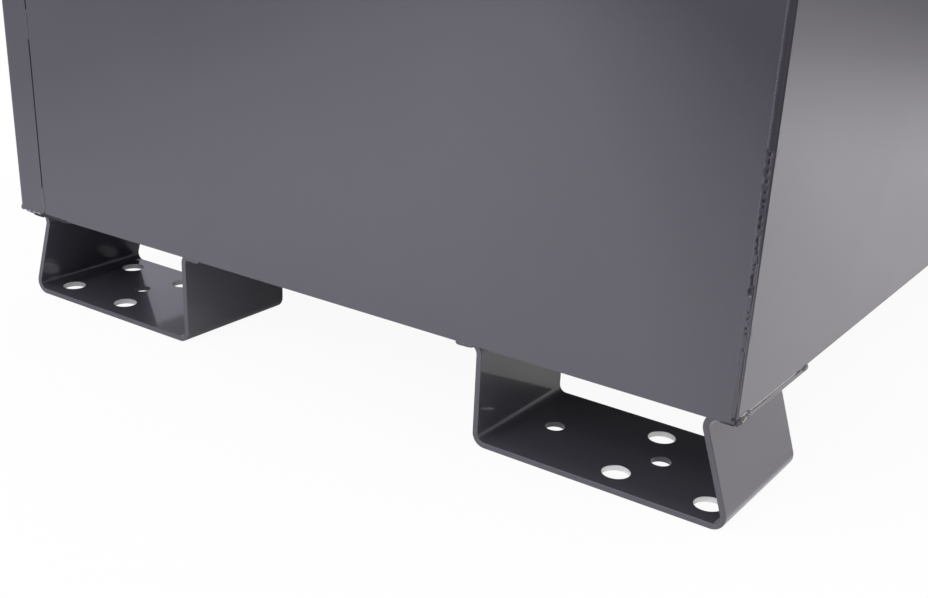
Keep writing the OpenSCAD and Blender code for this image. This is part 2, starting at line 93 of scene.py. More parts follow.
def new_material(name):
    """Empty material, its tree and the place on the object that its patterns follow"""
    material = bpy.data.materials.new(name)
    material.use_nodes = True
    tree = material.node_tree
    tree.nodes.clear()
    return material, tree, add(tree, "ShaderNodeTexCoord", {}).outputs["Object"]


def pattern(tree, place, size, detail):
    """Noise with a feature size in metres"""
    grain = add(tree, "ShaderNodeTexNoise", {"Vector": place, "Scale": 1 / size, "Detail": detail})
    return grain.outputs["Fac"]


def spread(tree, value, low, high, at_low, at_high):
    """Follows a value between two limits and keeps still outside them"""
    return add(tree, "ShaderNodeMapRange", {"Value": value, "From Min": low, "From Max": high,
                                            "To Min": at_low, "To Max": at_high}).outputs["Result"]


def raised(tree, height, depth, under=None):
    """Normal of a surface that a height raises by up to depth, over the normal under it"""
    inputs = {"Height": height, "Distance": depth, "Strength": 1.0}
    if under:
        inputs["Normal"] = under
    return add(tree, "ShaderNodeBump", inputs).outputs["Normal"]


def finish_material(tree, inputs):
    shader = add(tree, "ShaderNodeBsdfPrincipled", inputs)
    add(tree, "ShaderNodeOutputMaterial", {"Surface": shader.outputs["BSDF"]})


# Powder-coated mild steel: polyester powder melted in an oven over cold-rolled sheet.
# The eye sees an even grey under a glossier skin, with a fine orange peel, a rare dust nib under the film,
# and the sheet's own slow waves in what it reflects.
def powder_coated_steel(name, colour, roughness, skin_roughness, skin_weight, peel_depth, wave_depth):
    wave_size, peel_size, cloud_size, nib_spacing, nib_depth = 260 * MM, 2.6 * MM, 90 * MM, 70 * MM, 0.2 * MM
    cloud_low, cloud_high, tone_change, gloss_change, film_ior = 0.3, 0.7, 0.03, 0.02, 1.5
    nib_top, nib_foot = 0.004, 0.014
    material, tree, place = new_material(name)
    cloud = pattern(tree, place, cloud_size, 3.0)
    tone = spread(tree, cloud, cloud_low, cloud_high, 1 - tone_change, 1 + tone_change)
    shade = add(tree, "ShaderNodeMix", {0: 1.0, 6: linear(colour), 7: tone},
                data_type="RGBA", blend_type="MULTIPLY")
    gloss = spread(tree, cloud, cloud_low, cloud_high, roughness - gloss_change, roughness + gloss_change)
    nib = add(tree, "ShaderNodeTexVoronoi", {"Vector": place, "Scale": 1 / nib_spacing}).outputs["Distance"]
    slow = raised(tree, pattern(tree, place, wave_size, 1.0), wave_depth)
    lump = raised(tree, spread(tree, nib, nib_top, nib_foot, 1.0, 0.0), nib_depth, slow)
    fine = raised(tree, pattern(tree, place, peel_size, 2.0), peel_depth, lump)
    finish_material(tree, {
        "Base Color": shade.outputs[2], "Roughness": gloss, "IOR": film_ior, "Normal": fine,
        "Coat Weight": skin_weight, "Coat Roughness": skin_roughness, "Coat IOR": film_ior,
        "Coat Normal": fine})
    return material


coat = powder_coated_steel("powder_coated_steel", "#504f56", 0.3, 0.06, 1.0, 0.012 * MM, 0.35 * MM)
# The same powder over a weld: it lies thin on the ripples and looks a little darker and duller.
coated_weld = powder_coated_steel("powder_coated_weld", "#49494e", 0.34, 0.14, 1.0, 0.05 * MM, 0.0)
# Dark, dull strips laid in the feet's open joints: partly painted shade of the gaps, partly the dark scale
# where the powder hardly reaches.
joint_shade_and_scale = powder_coated_steel("joint_shade_and_weld_scale", "#302f36", 0.7, 0.5, 0.0, 0.08 * MM, 0.0)


def add_bevel(piece, width):
    """Gives a piece's sharp edges the small round that cutting and coating leave"""
    sharp = math.radians(40)
    bevel = piece.modifiers.new("edge", "BEVEL")
    bevel.width, bevel.segments, bevel.limit_method = width, 2, "ANGLE"
    bevel.angle_limit, bevel.harden_normals = sharp, True


def finish_node(name, material, edge=0.0):
    """Gives a carried-over node its material and, where it has cut edges, their rounding"""
    node = nodes[name]
    node.data.materials.clear()
    node.data.materials.append(material)
    if edge:
        weld = node.modifiers.new("weld", "WELD")
        weld.merge_threshold = 0.01 * MM
        add_bevel(node, edge)


def new_object(name, mesh_data, *materials):
    piece = bpy.data.objects.new(name, mesh_data)
    bpy.context.scene.collection.objects.link(piece)
    for material in materials:
        piece.data.materials.append(material)
    return piece


def closed_data(name, mesh):
    """Mesh data of a bmesh, with its faces turned outwards"""
    bmesh.ops.recalc_face_normals(mesh, faces=mesh.faces)
    data = bpy.data.meshes.new(name)
    mesh.to_mesh(data)
    mesh.free()
    return data


def mesh_piece(name, mesh, body, slot, *materials):
    """Makes a bmesh a smooth-shaded piece that rides on a body"""
    data = closed_data(name, mesh)
    data.shade_smooth()
    piece = new_object(name, data, *materials)
    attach(piece, body)
    return piece


def skin(mesh, rings):
    """Closed skin over rings of points, with a fan at both ends"""
    rows = [[mesh.verts.new(p) for p in ring] for ring in rings]
    for row, after in zip(rows, rows[1:]):
        for i in range(len(row)):
            j = (i + 1) % len(row)
            mesh.faces.new((row[i], row[j], after[j], after[i]))
    for row in (rows[0][::-1], rows[-1]):
        tip = mesh.verts.new(sum((v.co for v in row), Vector()) / len(row))
        for i in range(len(row)):
            mesh.faces.new((row[i], row[(i + 1) % len(row)], tip))


def circle(count):
    """Angles of equally spaced points on a circle"""
    return [2 * math.pi * k / count for k in range(count)]


def weld_run(mesh, start, end, face, width, height, step=1.5, ripple=2.4):
    """One run of weld from start to end, facing outwards: overlapping ripples, sunk half into the joint.
    All lengths are in millimetres; step is the spacing of its rings and ripple that of its ripples."""
    sides, least_rings, least_end = 8, 6, 0.02
    ripple_rise, grain_rise, grain_size, wander, wander_size = 0.09, 0.16, 3.0 * MM, 0.12, 7.0 * MM
    start, end, face = Vector(start) * MM, Vector(end) * MM, Vector(face).normalized()
    way = end - start
    length = way.length
    way.normalize()
    side = way.cross(face).normalized()
    count = max(least_rings, int(length / (step * MM)))
    rings = []
    for k in range(count + 1):
        share = k / count
        place = start + way * length * share
        grain = noise.noise(place / grain_size)
        end_round = math.sqrt(max(least_end, 1 - abs(2 * share - 1) ** max(2, length / (4 * MM))))
        swell = 1 + ripple_rise * math.cos(2 * math.pi * share * length / (ripple * MM)) + grain_rise * grain
        place = place + side * wander * width * MM * noise.noise(place / wander_size)
        across, rise = width / 2 * MM * end_round * swell, height * MM * end_round * swell
        rings.append([place + side * across * math.cos(a) + face * rise * math.sin(a) for a in circle(sides)])
    skin(mesh, rings)


def stitches(mesh, start, end, face, width, height, run, count):
    """Equal stitch welds spread over a joint, each as long as run"""
    start, end = Vector(start), Vector(end)
    way = (end - start).normalized()
    for k in range(count):
        middle = start.lerp(end, (k + 0.5) / count)
        weld_run(mesh, middle - way * run / 2, middle + way * run / 2, face, width, height)


coat_edge = 0.5 * MM
finish_node("floor_panel", coat, coat_edge)
floor_welds = bmesh.new()
floor_top = floor_high.z / MM
joint_x, joint_y, reach_x, reach_y = 607, 378.5, 560, 330
bead_width, bead_height, stitch = 5, 2.2, 34
for s in (-1, 1):
    stitches(floor_welds, (-reach_x, s * joint_y, floor_top), (reach_x, s * joint_y, floor_top), (0, -s, 1),
             bead_width, bead_height, stitch, count=6)
    stitches(floor_welds, (s * joint_x, -reach_y, floor_top), (s * joint_x, reach_y, floor_top), (-s, 0, 1),
             bead_width, bead_height, stitch, count=4)
mesh_piece("floor_stitch_welds", floor_welds, "box", "powder_coat", coated_weld)

# Walls
# The front panel and the back panel with its corner flanges are folded 2 mm sheet; the ends are flat sheets.
# Each end butts against both, with a corner weld at the front and stitches in the open rear joint.
wall_edge, sheared_edge = 0.8 * MM, 0.25 * MM
finish_node("front_panel", coat, wall_edge)
finish_node("back_panel", coat, wall_edge)

# The hollow length of a corner weld: a dull, nearly black band.
nearly_black_band = powder_coated_steel("nearly_black_weld_band", "#312f37", 0.55, 0.4, 0.1, 0.06 * MM, 0.0)
# A grey between that band and the coat, for the rough weld that laps the panel's edge and the band that
# widens towards the hollow length. In the deep faces of the pits it is partly painted shade, partly weld
# under thin powder.
pit_shade_and_dark_weld = powder_coated_steel("dark_weld_and_pit_shade", "#3c3a42", 0.5, 0.35, 0.3, 0.06 * MM, 0.0)

# Heights and widths of the corner weld in millimetres. From the foot up it is ragged, then ground with
# pits, then it laps the front panel's edge as well, and above it is hollow and dark.
ragged_to, thin_from, lap_from, hollow_from, hollow_to = 150, 176, 196, 272, 425
weld_width, ripple_pitch, pit_depth = 4.5, 2.4, 1.3
front_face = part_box("front_panel")[0].y / MM
# Height, size and width of each pit
ground_pits = (
    (269, 3, 1.6), (264, 4, 1.5), (258, 3.5, 1.6), (252, 3, 1.3), (245, 2.4, 1.3), (239.5, 3, 1.5),
    (235.5, 2.4, 1.3), (228, 5, 1.9), (222.5, 4.4, 1.9), (214, 6, 1.6), (208.5, 4, 1.6), (205, 2, 1.3),
    (197.5, 2, 1.3), (194.5, 2, 1.3), (189, 6, 1.7), (185, 4, 1.5), (179.5, 6.4, 2.2), (165, 1.6, 1),
    (161, 1.5, 1), (154, 2.2, 1.2), (150.5, 1.8, 1), (139, 2, 1.1), (88, 3, 1.5))


def pits_between(low, high, seed):
    """Pits of a weld that the photograph doesn't show"""
    rng = random.Random(seed)
    pits, z = [], low
    while z < high:
        pits.append((z, rng.uniform(1.5, 5), rng.uniform(1, 1.9)))
        z += rng.choice((4, 6, 9, 30, 60)) * rng.uniform(0.8, 1.2)
    return pits


def pitted(pits, across, z):
    """How deep the pits leave a place on the ground face"""
    deepest, pits_start = 0.0, 0.1
    for centre, size, width in pits:
        half_width, half_height = 0.75 * width, size / 1.9
        far = ((z - centre) / half_height) ** 2 + ((across - pits_start - half_width) / half_width) ** 2
        deepest = max(deepest, pit_depth * max(0.0, 1 - far) ** 0.5)
    return deepest


def ground_weld(name, side, end_x, low, high, pits):
    """Weld between the front panel's edge and the end panel, ground flat but for its pits"""
    columns = (0, 0.25, 0.6, 1.0, 1.4, 1.8, 2.3, 3.0, 3.7, 4.3, 5.0)
    row_step, front_gap, root_depth, proud, sunk_edge = 0.7, 2, 2.6, 0.07, -0.15
    grain_rise, ripple_rise = 0.05, 0.06
    dark_pit, rough_width, rough_change, thin_rise = 0.35, 3.0, 2, 60
    mesh = bmesh.new()
    rows = []
    z = low
    while z <= high:
        depths = [pitted(pits, c, z) for c in columns]
        ripple = ripple_rise * math.cos(2 * math.pi * z / ripple_pitch) if z > ragged_to else 0.0
        verts = []
        for c, depth in zip(columns, depths):
            grain = grain_rise * noise.noise(Vector((c / 1.5, side * 10, z / 2.5)))
            out = end_x + side * ((proud if 0.2 < c < 4.6 else sunk_edge) - depth + grain + ripple)
            verts.append(mesh.verts.new((out * MM, (front_face + front_gap + c) * MM, z * MM)))
        root = [mesh.verts.new(((end_x - side * root_depth) * MM, v.co.y, v.co.z))
                for v in (verts[0], verts[-1])]
        rows.append((z, depths, verts, root))
        z += row_step
    for (z, depths, verts, root), (_, depths_above, verts_above, root_above) in zip(rows, rows[1:]):
        rough = rough_width + rough_change * noise.noise(Vector((side, 0, z / 5)))
        thin = rough * (z - thin_from) / thin_rise if thin_from < z < hollow_from else 0
        for k in range(len(columns) - 1):
            face = mesh.faces.new((verts[k], verts[k + 1], verts_above[k + 1], verts_above[k]))
            depth = sum(depths[k:k + 2] + depths_above[k:k + 2]) / 4
            # faces deep in a pit get the darker grey: partly painted shade, partly weld under thin powder
            if depth > dark_pit or columns[k] < thin:
                face.material_index = 1
            elif z < ragged_to and columns[k] < rough:
                face.material_index = 2
        mesh.faces.new((verts[0], verts_above[0], root_above[0], root[0]))
        mesh.faces.new((verts[-1], root[1], root_above[1], verts_above[-1]))
        mesh.faces.new((root[0], root_above[0], root_above[1], root[1]))
    for z, depths, verts, root in (rows[0], rows[-1]):
        mesh.faces.new(verts + root[::-1])
    # the fillet behind it, inside the corner
    fillet_x, fillet_y = end_x - side * 2.3, front_face + 2.3
    weld_run(mesh, (fillet_x, fillet_y, low + 8), (fillet_x, fillet_y, high - 4), (-side, 1, 0),
             4, 2.4, step=2.5)
    mesh_piece(name, mesh, "box", "powder_coat", coat, pit_shade_and_dark_weld, coated_weld)


def band(side, end_x, bottom, top, step, profile, root_edges):
    """Skin of a weld on the end's face; profile gives its points at a height as distances across and out,
    and root_edges where it meets the sheet behind"""
    root_x, rings, z = end_x - side, [], bottom
    mesh = bmesh.new()
    while z <= top:
        across, out = profile(z)
        ring = [Vector((end_x + side * o, front_face + a, z)) * MM for a, o in zip(across, out)]
        ring += [Vector((root_x, front_face + a, z)) * MM for a in root_edges(z)]
        rings.append(ring)
        z += step
    skin(mesh, rings)
    return mesh


def hollow_weld(name, side, end_x):
    """Length left hollow: a dark band that also covers the front panel's edge"""
    shape = ((0.15, 0.05), (0.5, 0.22), (1.4, 0.1), (2.4, 0.0), (3.6, 0.12), (4.5, 0.25), (4.95, 0.02))
    row_step, lift, grain_rise, ragged_from, ragged, root_edges = 1.2, 0.16, 0.07, 4, 0.5, (4.6, 0.4)

    def profile(z):
        across = [a + (ragged * noise.noise(Vector((side * 3, a, z / 9.0))) if a > ragged_from else 0)
                  for a, proud in shape]
        out = [proud + lift + grain_rise * noise.noise(Vector((a / 2.0, side * 4, z / 6.0)))
               for a, proud in shape]
        return across, out

    mesh = band(side, end_x, hollow_from, hollow_to, row_step, profile, lambda z: root_edges)
    mesh_piece(name + "_hollow", mesh, "box", "powder_coat", nearly_black_band)


def lap_weld(name, side, end_x):
    """Length that only laps the panel's edge, in ripples that get wider towards the hollow length"""
    shape = ((0.1, 0.04), (0.35, 0.16), (0.7, 0.14), (1.0, 0.02))
    row_step, lift, ripple_rise, start, root_edge = 0.6, 0.05, 0.05, 0.1, 0.4
    narrow, widening, widening_height, wander = 0.7, 1.5, 30, 0.25

    def width_at(z):
        width = narrow + widening * min(1, (z - lap_from) / widening_height)
        return width * (1 + wander * noise.noise(Vector((side * 5, 1, z / 4.0))))

    def profile(z):
        ripple = ripple_rise * math.cos(2 * math.pi * z / ripple_pitch)
        across = [start + width_at(z) * share for share, proud in shape]
        out = [shape[0][1] + lift] + [proud + lift + ripple for share, proud in shape[1:]]
        return across, out

    mesh = band(side, end_x, lap_from, hollow_from + 1, row_step, profile, lambda z: (width_at(z), root_edge))
    mesh_piece(name + "_lap", mesh, "box", "powder_coat", pit_shade_and_dark_weld)


def prism(name, outline, place, depth):
    """Mesh of an outline pushed along X; place gives where a point of the outline starts"""
    mesh = bmesh.new()
    near = [mesh.verts.new(place(p)) for p in outline]
    far = [mesh.verts.new(v.co + Vector((depth, 0, 0))) for v in near]
    mesh.faces.new(near[::-1])
    mesh.faces.new(far)
    for i in range(len(near)):
        j = (i + 1) % len(near)
        mesh.faces.new((near[i], near[j], far[j], far[i]))
    return closed_data(name, mesh)


def settle(piece):
    """Applies a piece's modifiers"""
    view = bpy.context.evaluated_depsgraph_get()
    data = bpy.data.meshes.new_from_object(piece.evaluated_get(view))
    piece.modifiers.clear()
    piece.data = data


def round_edges(piece, width):
    """Rounds a piece's sharp edges for good, with smooth faces between them"""
    add_bevel(piece, width)
    piece.data.shade_smooth()
    settle(piece)


for end, side in (("left", -1), ("right", 1)):
    name = f"{end}_end_panel"
    low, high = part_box(name)
    front = low.y + weld_width * MM
    outline = [(front, low.z), (high.y, low.z), (high.y, high.z), (front, high.z)]
    data = prism(name, outline, lambda p: Vector((low.x, p[0], p[1])), high.x - low.x)
    plate = new_object(name + "_sheet", data, coat)
    round_edges(plate, sheared_edge)
    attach(plate, "box")
    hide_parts(name)
    outer = (low.x if side < 0 else high.x) / MM
    pits = list(ground_pits) if side < 0 else pits_between(90, 270, seed=5)
    pits += pits_between(430, 860, seed=11 + side)
    ground_weld(f"corner_weld_{end}", side, outer, low.z / MM + 0.3, high.z / MM - 0.2, pits)
    hollow_weld(f"corner_weld_{end}", side, outer)
    lap_weld(f"corner_weld_{end}", side, outer)
    # rear joint: a ragged stitch at its foot, stitches in the gap and a closing run inside
    seam = bmesh.new()
    middle, joint, behind, half = high.y / MM + 0.75, outer - side, outer - side * 3.2, 14
    weld_run(seam, (joint, middle - 0.4, 86), (joint, middle - 0.4, 112), (side, 0, 0), 7.5, 1.4, step=1)
    for z in (265, 420, 575, 730, 850):
        weld_run(seam, (joint, middle, z - half), (joint, middle, z + half), (side, 0, 0), 3.4, 1.5, step=1)
    weld_run(seam, (behind, middle, 92), (behind, middle, 866), (-side, 0, 0), 3.6, 1.6, step=2.5)
    mesh_piece(f"rear_seam_weld_{end}", seam, "box", "powder_coat", coated_weld)

# Rim rails
# Channels folded from 2.5 mm sheet stiffen the rim, and get the same coat as the walls.
# Stitches under them hold them to the walls, and a run in each corner joins them to each other.
for name in ("front_rail", "back_rail", "left_rail", "right_rail"):
    finish_node(name, coat, coat_edge)
rim_welds = bmesh.new()
rail_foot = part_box("front_rail")[0].z / MM
joint_x, joint_y, reach_x, reach_y, corner_x, corner_y = 606, 377.5, 540, 300, 569.5, 341
bead_width, bead_height, stitch = 4, 2, 30
for s in (-1, 1):
    stitches(rim_welds, (-reach_x, s * joint_y, rail_foot), (reach_x, s * joint_y, rail_foot), (0, -s, -1),
             bead_width, bead_height, stitch, count=5)
    stitches(rim_welds, (s * joint_x, -reach_y, rail_foot), (s * joint_x, reach_y, rail_foot), (-s, 0, -1),
             bead_width, bead_height, stitch, count=3)
    for t in (-1, 1):
        weld_run(rim_welds, (s * corner_x, t * corner_y, 854), (s * corner_x, t * corner_y, 866), (-s, -t, 0),
                 4, 1.5, step=1)
mesh_piece("rim_stitch_welds", rim_welds, "box", "powder_coat", coated_weld)

# Feet
# Each foot is a bent strip of 4.8 mm plate: a flange, an upright wall, the sole, a flared wall and a flange.
# The sole has four caster holes and two anchor holes, cut before bending.
foot_plate, bend_radius, flare = 4.8 * MM, 6.5 * MM, math.radians(19)
foot_width, inner_flange = 220 * MM, 19 * MM
caster_spacing, caster_hole, caster_centre = 76.2 * MM, 22 * MM, 153.5 * MM
anchor_hole, anchor_places = 16 * MM, (134 * MM, 38.5 * MM)
plate_edge, hole_margin = 0.6 * MM, 0.3 * MM
bend_steps, hole_steps = 12, 48


# Bare cut steel: the caster holes are reamed after coating.
# The eye sees a bright, finely scored ring.
def cut_steel():
    score, score_depth, stretch = 0.6 * MM, 0.03 * MM, (0.1, 0.1, 1)
    material, tree, place = new_material("reamed_steel")
    stretched = add(tree, "ShaderNodeMapping", {"Vector": place, "Scale": stretch})
    lines = pattern(tree, stretched.outputs[0], score, 2.0)
    tone = add(tree, "ShaderNodeMix", {0: lines, 6: linear("#dcdcda"), 7: linear("#f4f4f2")},
               data_type="RGBA")
    finish_material(tree, {"Base Color": tone.outputs[2], "Metallic": 1.0, "Roughness": 0.45,
                           "Normal": raised(tree, lines, score_depth)})
    return material


bare_hole = cut_steel()


def turned(path, i):
    """Heading before a corner of a path and the turn that it makes there"""
    before = path[i] - path[i - 1]
    after = path[i + 1] - path[i]
    return math.atan2(before.y, before.x), before.angle_signed(after) * -1


def side_of(path, radius, shift):
    """One side of a folded plate, which lies shift to the left of its middle line"""
    first = (path[1] - path[0]).normalized()
    last = (path[-1] - path[-2]).normalized()
    points = [path[0] + shift * Vector((-first.y, first.x))]
    for i in range(1, len(path) - 1):
        heading, turn = turned(path, i)
        side = math.copysign(1, turn)
        start = path[i] - radius * math.tan(abs(turn) / 2) * Vector((math.cos(heading), math.sin(heading)))
        centre = start + side * radius * Vector((-math.sin(heading), math.cos(heading)))
        for k in range(bend_steps + 1):
            angle = heading - side * math.pi / 2 + turn * k / bend_steps
            points.append(centre + (radius - side * shift) * Vector((math.cos(angle), math.sin(angle))))
    return points + [path[-1] + shift * Vector((-last.y, last.x))]


def folded(path, thickness, inner_radius):
    """Outline of a plate that is folded along a middle line"""
    radius = inner_radius + thickness / 2
    return side_of(path, radius, thickness / 2) + side_of(path, radius, -thickness / 2)[::-1]


def flare_at(height):
    return foot_width - height * math.tan(flare)


for end, facing in (("front", -1), ("back", 1)):
    for side in ("left", "right"):
        name = f"foot_{end}_{side}"
        low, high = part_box(name)
        upright = high.y - inner_flange if facing < 0 else low.y + inner_flange
        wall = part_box(f"{end}_panel")[1 if facing > 0 else 0].y
        inset = abs(wall - upright)
        half, top = foot_plate / 2, foot_height - foot_plate / 2
        lean = half / math.cos(flare)
        path = [Vector(p) for p in (
            (-inner_flange, top), (half, top), (half, half),
            (flare_at(half) - lean, half), (flare_at(top) - lean, top), (inset, top))]
        outline = folded(path, foot_plate, bend_radius)
        data = prism(name, outline, lambda p: Vector((low.x, upright + facing * p.x, p.y)), high.x - low.x)
        foot = new_object(name + "_plate", data, coat, bare_hole)
        middle = (low.x + high.x) / 2
        holes = [(middle + i * caster_spacing / 2, caster_centre + j * caster_spacing / 2, caster_hole)
                 for i in (-1, 1) for j in (-1, 1)]
        holes += [(middle, place, anchor_hole) for place in anchor_places]
        cutters = []
        for x, y, size in holes:
            bpy.ops.mesh.primitive_cylinder_add(
                vertices=hole_steps, radius=size / 2, depth=4 * foot_plate,
                location=(x, upright + facing * y, foot_plate / 2))
            cutters.append(bpy.context.object)
            cut = foot.modifiers.new("hole", "BOOLEAN")
            cut.operation, cut.solver, cut.object = "DIFFERENCE", "EXACT", cutters[-1]
        settle(foot)
        for cutter in cutters:
            bpy.data.objects.remove(cutter)
        for face in foot.data.polygons:
            hole_wall = abs(face.normal.z) < 0.3 and face.center.z < foot_plate
            away = [math.hypot(face.center.x - x, face.center.y - upright - facing * y) - size / 2
                    for x, y, size in holes[:4]]
            face.material_index = 1 if hole_wall and min(away) < hole_margin else 0
        round_edges(foot, plate_edge)
        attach(foot, "box")
        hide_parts(name)

# Feet welds
# Fillet welds close the feet's flanges to the front, back and end panels; short runs hold the inner flanges.
# Between the runs the joint stays open, with thin dark strips in it that are partly painted shade, and a pale
# strip of painted highlight runs along the wall's lower edge above it.
wall_face = 381
foot_low, foot_high = (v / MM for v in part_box("foot_front_left"))
foot_long = foot_high.x - foot_low.x

# Pale powder laid in thin strips: a painted highlight along the wall's lower edge and on the ridges of the
# weld at the corner.
painted_edge_highlight = powder_coated_steel("painted_highlight_on_edges", "#c0bfc1", 0.4, 0.2, 0.5, 0.04 * MM, 0.0)

# Each run: the feet that have it, start, end, face, width, height, spacing of rings, spacing of ripples.
# A place is in millimetres from the box's end inwards, from its wall outwards and from the ground up.
foot_runs = {"weld": (coated_weld, (
    # under the end panel
    ("back", (-0.8, -7, 84.2), (-1.0, -32, 83.2), (-1, 0, -1), 3.2, 1.7, 0.8, 4.2),
    # along the wall's lower edge: a lumpy corner with two ridges, a thin run in the middle and a rounded end
    ("both", (-1.4, -0.2, 84.6), (8, 0, 86.2), (0, 1, -0.2), 6.5, 2.1, 0.6, 3.4),
    ("both", (1, 0, 88.4), (19, 0, 88.8), (0, 1, 0), 2.6, 1.9, 0.6, 4.6),
    ("both", (3, 0, 84.4), (18, 0, 85.4), (0, 1, -0.3), 2.8, 1.9, 0.6, 3.8),
    ("both", (50, 0, 87.8), (100, 0, 87.8), (0, 1, 0), 2.8, 0.7, 1, 2.4),
    ("both", (foot_long - 9, 0, 87.0), (foot_long + 1.5, 0, 86.2), (0, 1, 0), 5.2, 1.2, 0.8, 4),
    ("both", (foot_long + 0.8, 0.4, 86.4), (foot_long + 0.8, -16, 86.6), (1, 0, 0.3), 3.8, 1.8, 1, 2.4)))}
# thin dark strips along the open joints: partly painted shade of the gaps, partly weld scale
foot_runs["joint"] = (joint_shade_and_scale, (
    ("both", (18, 0.1, 87.9), (50.5, 0.1, 87.9), (0, 1, 0), 1.3, 0.12, 1, 2.4),
    ("both", (99.5, 0.1, 87.9), (112, 0.1, 87.9), (0, 1, 0), 1.3, 0.12, 1, 2.4),
    ("front", (-1.9, -1, 83.8), (-1.9, -13, 83.8), (-1, 0, -1), 1.4, 0.5, 1, 2.4),
    ("back", (-0.5, -30, 83.6), (-0.5, -74, 83.2), (-1, 0, -1), 4.8, 1.7, 1, 2.4),
    ("back", (-2.0, -20, 82.6), (-2.0, -36, 82.2), (-1, 0, -1), 2.6, 1.2, 0.8, 3.6)))
# pale strips: a painted highlight on edges and weld ridges that face the bright floor
foot_runs["edge"] = (painted_edge_highlight, (
    ("both", (13, 0, 89.0), (103, 0, 89.0), (0, 1, 0), 1.3, 0.5, 1, 2.4),
    ("both", (1, -0.2, 89.8), (12, 0, 90.4), (0, 1, 0), 1.0, 1.2, 0.5, 2.2),
    ("both", (2, 0.9, 85.4), (12, 0.6, 88.0), (0, 1, 0), 1.4, 1.6, 0.5, 2.6),
    ("back", (-1.9, -12, 84.4), (-1.9, -17, 84.1), (-1, 0, 0), 1.2, 0.7, 0.5, 2.2),
    ("back", (-1.9, -18.5, 84.1), (-1.9, -24, 83.8), (-1, 0, 0), 1.2, 0.7, 0.5, 2.2),
    ("back", (-1.9, -25, 84.2), (-1.9, -31, 83.9), (-1, 0, 0), 1.2, 0.7, 0.5, 2.2)))


def by_foot(near, s, facing, place):
    """A place by a foot, in the box's own X, Y and Z"""
    return near - s * place[0], facing * (wall_face + place[1]), place[2]


for end, facing in (("front", -1), ("back", 1)):
    for side, s in (("left", -1), ("right", 1)):
        low, high = (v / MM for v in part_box(f"foot_{end}_{side}"))
        near, deep = (low.x if s < 0 else high.x), wall_face - (low.y if facing > 0 else -high.y)
        for kind, (material, runs) in foot_runs.items():
            mesh = bmesh.new()
            for feet, start, stop, (inwards, outwards, up), width, height, step, ripple in runs:
                if feet in ("both", end):
                    weld_run(mesh, by_foot(near, s, facing, start), by_foot(near, s, facing, stop),
                             (-s * inwards, facing * outwards, up), width, height, step, ripple)
            if kind == "weld":
                # the inner flange: a run under the end panel, and stitches under the floor
                start, stop = (-1.0, -deep, 83.0), (-1.0, 17 - deep, 83.2)
                weld_run(mesh, by_foot(near, s, facing, start), by_foot(near, s, facing, stop), (s, 0, -1),
                         3.4, 1.9, step=1)
                start, stop = (12, -deep, 87), (foot_long - 12, -deep, 87)
                stitches(mesh, by_foot(near, s, facing, start), by_foot(near, s, facing, stop),
                         (0, -facing, 1), 4, 2, 30, count=2)
            mesh_piece(f"foot_{kind}_{end}_{side}", mesh, "box", "powder_coat", material)

# Lock pockets
# Five-walled pockets of 2 mm sheet are welded behind the front panel and hide the padlocks.
# A 6 mm plate with a padlock hole hangs from each pocket's top.
for side in ("left", "right"):
    finish_node(f"lock_pocket_{side}", coat, coat_edge)
    finish_node(f"lock_plate_{side}", coat, coat_edge)
    low, high = (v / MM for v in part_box(f"lock_pocket_{side}"))
    mesh = bmesh.new()
    joint, side_inset, end_inset = low.y + 0.6, 8, 10
    bead_width, bead_height, side_stitch, end_stitch = 4, 2, 26, 30
    for x, way in ((low.x, -1), (high.x, 1)):
        stitches(mesh, (x, joint, low.z + side_inset), (x, joint, high.z - side_inset), (way, 1, 0),
                 bead_width, bead_height, side_stitch, count=2)
    for z, way in ((low.z, -1), (high.z, 1)):
        stitches(mesh, (low.x + end_inset, joint, z), (high.x - end_inset, joint, z), (0, 1, way),
                 bead_width, bead_height, end_stitch, count=2)
    mesh_piece(f"lock_pocket_weld_{side}", mesh, "box", "powder_coat", coated_weld)

# Handle ears
# Each ear is an angle of 5 mm steel with a hole for the handle's rod.
# A fillet weld round its foot holds it to the end panel, and both are coated together.
end_face, ear_root, bead_width, bead_height = 609.5, 87, 5, 2.4
for side, s in (("left", -1), ("right", 1)):
    finish_node(f"handle_ears_{side}", coat, coat_edge)
    low, high = (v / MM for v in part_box(f"handle_ears_{side}"))
    wall = s * end_face
    mesh = bmesh.new()
    for t in (-1, 1):
        tip, root = t * high.y, t * ear_root
        weld_run(mesh, (wall, tip, low.z + 1), (wall, tip, high.z - 1), (s, t, 0),
                 bead_width, bead_height, step=1)
        for z, way in ((low.z, -1), (high.z, 1)):
            weld_run(mesh, (wall, tip - t * 1, z), (wall, root + t * 8, z), (s, 0, way),
                     bead_width, bead_height, step=1)
    mesh_piece(f"ear_weld_{side}", mesh, "box", "powder_coat", coated_weld)

# Handles
# Each handle is a 12 mm steel rod, bent cold and zinc plated.
# It turns in its two ears, and upset collars outside them keep it there.
rod_radius, rod_drop, leg_place, leg_middle, grip_bend, stub_bend = 6, 80, 80, -40, 16, 7.5
grip_half, ear_gap, ear_thickness, collar_gap, stub_start, stub_end = 30, 7, 5, 1, 90, 98
pivot_across, pivot_height, rod_sides = 623.5, 640, 24
collar_shape = ((0, 7.2), (0.3, 7.8), (1, 8), (1.7, 7.8), (2, 7.2))


